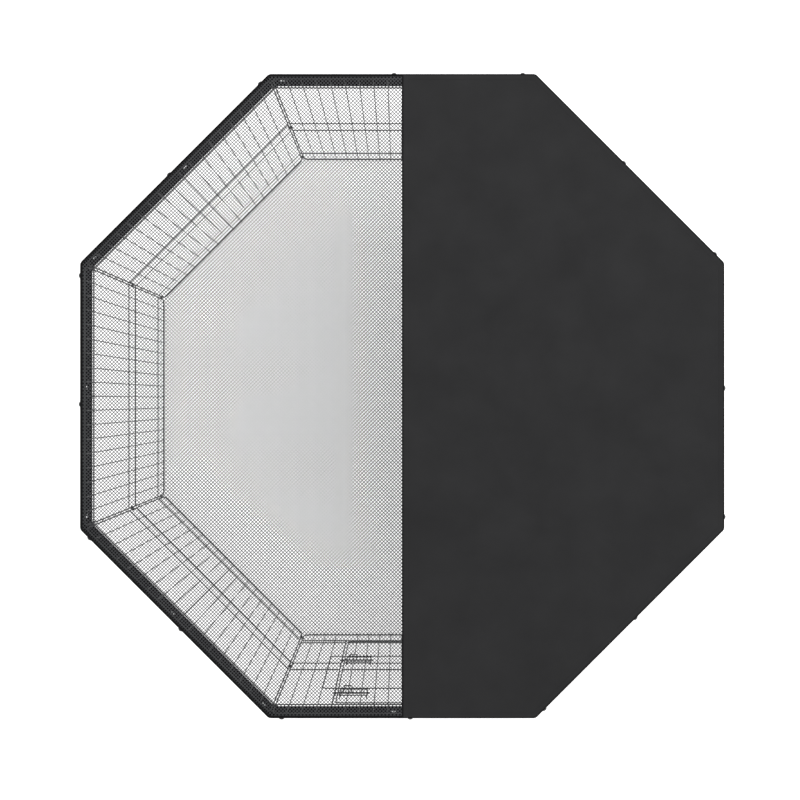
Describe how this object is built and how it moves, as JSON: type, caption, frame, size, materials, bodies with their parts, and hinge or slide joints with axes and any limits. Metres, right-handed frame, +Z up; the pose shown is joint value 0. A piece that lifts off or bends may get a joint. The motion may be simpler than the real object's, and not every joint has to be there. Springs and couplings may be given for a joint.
{
  "type": "pet exercise pen",
  "caption": "Folding wire pet pen of linked panels set up as an octagon, with a swing door and slide bolts, under a fitted cover that is half open net and half shade cloth.",
  "frame": {"origin": "on the ground under the middle of the octagon", "axes": "+Z up, -Y out through the door panel, the net half of the cover at -X"},
  "size_m": [1.5256, 1.5256, 0.6113],
  "materials": {
    "coated_wire": "black electro-coated steel wire, semi-gloss",
    "link_steel": "black coated sheet-steel clips",
    "latch_steel": "black coated steel rod and wire",
    "net": "open knotted polyester net, dark grey",
    "shade_cloth": "black woven polyester, matte",
    "ball_tie": "black moulded ball on a covered elastic"
  },
  "bodies": {
    "root": {"door_panel_latch_side": "coated_wire", "door_panel_hinge_side": "coated_wire", "door_panel_sill": "coated_wire", "door_panel_head": "coated_wire", "closure_low": "link_steel", "closure_high": "link_steel"},
    "door": {"door": "coated_wire", "door_ring_low": "link_steel", "door_ring_high": "link_steel", "latch_bracket_low": "latch_steel", "latch_bracket_high": "latch_steel"},
    "bolt_low": {"latch_bolt_low": "latch_steel"},
    "bolt_high": {"latch_bolt_high": "latch_steel"},
    "cover": {"cover_net_half": "net", "cover_shade_half": "shade_cloth", "cover_skirt": "shade_cloth", "tie_front_middle": "ball_tie", "tie_front_corner": "ball_tie", "tie_front_left_middle": "ball_tie", "tie_front_left_corner": "ball_tie", "tie_left_middle": "ball_tie", "tie_left_corner": "ball_tie", "tie_back_left_middle": "ball_tie", "tie_back_left_corner": "ball_tie", "tie_back_middle": "ball_tie", "tie_back_corner": "ball_tie", "tie_back_right_middle": "ball_tie", "tie_back_right_corner": "ball_tie", "tie_right_middle": "ball_tie", "tie_right_corner": "ball_tie", "tie_front_right_middle": "ball_tie", "tie_front_right_corner": "ball_tie"},
    "links_1": {"link_1_low": "link_steel", "link_1_middle": "link_steel", "link_1_high": "link_steel"},
    "panel_front_left": {"panel_front_left": "coated_wire"},
    "links_2": {"link_2_low": "link_steel", "link_2_middle": "link_steel", "link_2_high": "link_steel"},
    "panel_left": {"panel_left": "coated_wire"},
    "links_3": {"link_3_low": "link_steel", "link_3_middle": "link_steel", "link_3_high": "link_steel"},
    "panel_back_left": {"panel_back_left": "coated_wire"},
    "links_4": {"link_4_low": "link_steel", "link_4_middle": "link_steel", "link_4_high": "link_steel"},
    "panel_back": {"panel_back": "coated_wire"},
    "links_5": {"link_5_low": "link_steel", "link_5_middle": "link_steel", "link_5_high": "link_steel"},
    "panel_back_right": {"panel_back_right": "coated_wire"},
    "links_6": {"link_6_low": "link_steel", "link_6_middle": "link_steel", "link_6_high": "link_steel"},
    "panel_right": {"panel_right": "coated_wire"},
    "links_7": {"link_7_low": "link_steel", "link_7_middle": "link_steel", "link_7_high": "link_steel"},
    "panel_front_right": {"panel_front_right": "coated_wire"}
  },
  "joints": [
    {"name": "fold", "type": "hinge", "parent": "root", "child": "panel_front_left", "pos_m": [-0.30406, -0.73406, 0], "axis": [0, 0, -1], "range_deg": [0, 129], "deforming": ["cover_skirt", "tie_front_middle", "tie_front_corner", "tie_front_left_middle", "tie_front_left_corner", "tie_left_middle", "tie_left_corner", "tie_back_left_middle", "tie_back_left_corner", "tie_back_middle", "tie_back_corner", "tie_back_right_middle", "tie_back_right_corner", "tie_right_middle", "tie_right_corner", "tie_front_right_middle", "tie_front_right_corner"]},
    {"name": "link_turn_1", "type": "hinge", "parent": "root", "child": "links_1", "pos_m": [-0.302, -0.73696, 0], "axis": [0, 0, -1], "range_deg": [0, 64.5]},
    {"name": "fold_2", "type": "hinge", "parent": "panel_front_left", "child": "panel_left", "pos_m": [-0.73975, -0.30641, 0], "axis": [0, 0, -1], "range_deg": [-219, 0]},
    {"name": "link_turn_2", "type": "hinge", "parent": "panel_front_left", "child": "links_2", "pos_m": [-0.73466, -0.30757, 0], "axis": [0, 0, -1], "range_deg": [-109.5, 0]},
    {"name": "fold_3", "type": "hinge", "parent": "panel_left", "child": "panel_back_left", "pos_m": [-0.73406, 0.30406, 0], "axis": [0, 0, -1], "range_deg": [0, 129]},
    {"name": "link_turn_3", "type": "hinge", "parent": "panel_left", "child": "links_3", "pos_m": [-0.73696, 0.302, 0], "axis": [0, 0, -1], "range_deg": [0, 64.5]},
    {"name": "fold_4", "type": "hinge", "parent": "panel_back_left", "child": "panel_back", "pos_m": [-0.30641, 0.73975, 0], "axis": [0, 0, -1], "range_deg": [-219, 0]},
    {"name": "link_turn_4", "type": "hinge", "parent": "panel_back_left", "child": "links_4", "pos_m": [-0.30757, 0.73466, 0], "axis": [0, 0, -1], "range_deg": [-109.5, 0]},
    {"name": "fold_5", "type": "hinge", "parent": "panel_back", "child": "panel_back_right", "pos_m": [0.30406, 0.73406, 0], "axis": [0, 0, -1], "range_deg": [0, 129]},
    {"name": "link_turn_5", "type": "hinge", "parent": "panel_back", "child": "links_5", "pos_m": [0.302, 0.73696, 0], "axis": [0, 0, -1], "range_deg": [0, 64.5]},
    {"name": "fold_6", "type": "hinge", "parent": "panel_back_right", "child": "panel_right", "pos_m": [0.73975, 0.30641, 0], "axis": [0, 0, -1], "range_deg": [-219, 0]},
    {"name": "link_turn_6", "type": "hinge", "parent": "panel_back_right", "child": "links_6", "pos_m": [0.73466, 0.30757, 0], "axis": [0, 0, -1], "range_deg": [-109.5, 0]},
    {"name": "fold_7", "type": "hinge", "parent": "panel_right", "child": "panel_front_right", "pos_m": [0.73406, -0.30406, 0], "axis": [0, 0, -1], "range_deg": [0, 129]},
    {"name": "link_turn_7", "type": "hinge", "parent": "panel_right", "child": "links_7", "pos_m": [0.73696, -0.302, 0], "axis": [0, 0, -1], "range_deg": [0, 64.5]},
    {"name": "door_swing", "type": "hinge", "parent": "root", "child": "door", "pos_m": [0.16778, -0.73696, 0], "axis": [0, 0, 1], "range_deg": [0, 105]},
    {"name": "bolt_slide_low", "type": "slide", "parent": "door", "child": "bolt_low", "axis": [1, 0, 0], "range_m": [0, 0.02]},
    {"name": "bolt_slide_high", "type": "slide", "parent": "door", "child": "bolt_high", "axis": [1, 0, 0], "range_m": [0, 0.02]},
    {"name": "cover_lift", "type": "slide", "parent": "root", "child": "cover", "axis": [0, 0, 1], "range_m": [0, 0.3]}
  ],
  "couplings": [
    {"joint": "link_turn_1", "follows": "fold", "ratio": 0.5},
    {"joint": "fold_2", "follows": "fold", "ratio": -1.6977},
    {"joint": "link_turn_2", "follows": "fold", "ratio": -0.84884},
    {"joint": "fold_3", "follows": "fold", "ratio": 1},
    {"joint": "link_turn_3", "follows": "fold", "ratio": 0.5},
    {"joint": "fold_4", "follows": "fold", "ratio": -1.6977},
    {"joint": "link_turn_4", "follows": "fold", "ratio": -0.84884},
    {"joint": "fold_5", "follows": "fold", "ratio": 1},
    {"joint": "link_turn_5", "follows": "fold", "ratio": 0.5},
    {"joint": "fold_6", "follows": "fold", "ratio": -1.6977},
    {"joint": "link_turn_6", "follows": "fold", "ratio": -0.84884},
    {"joint": "fold_7", "follows": "fold", "ratio": 1},
    {"joint": "link_turn_7", "follows": "fold", "ratio": 0.5}
  ]
}
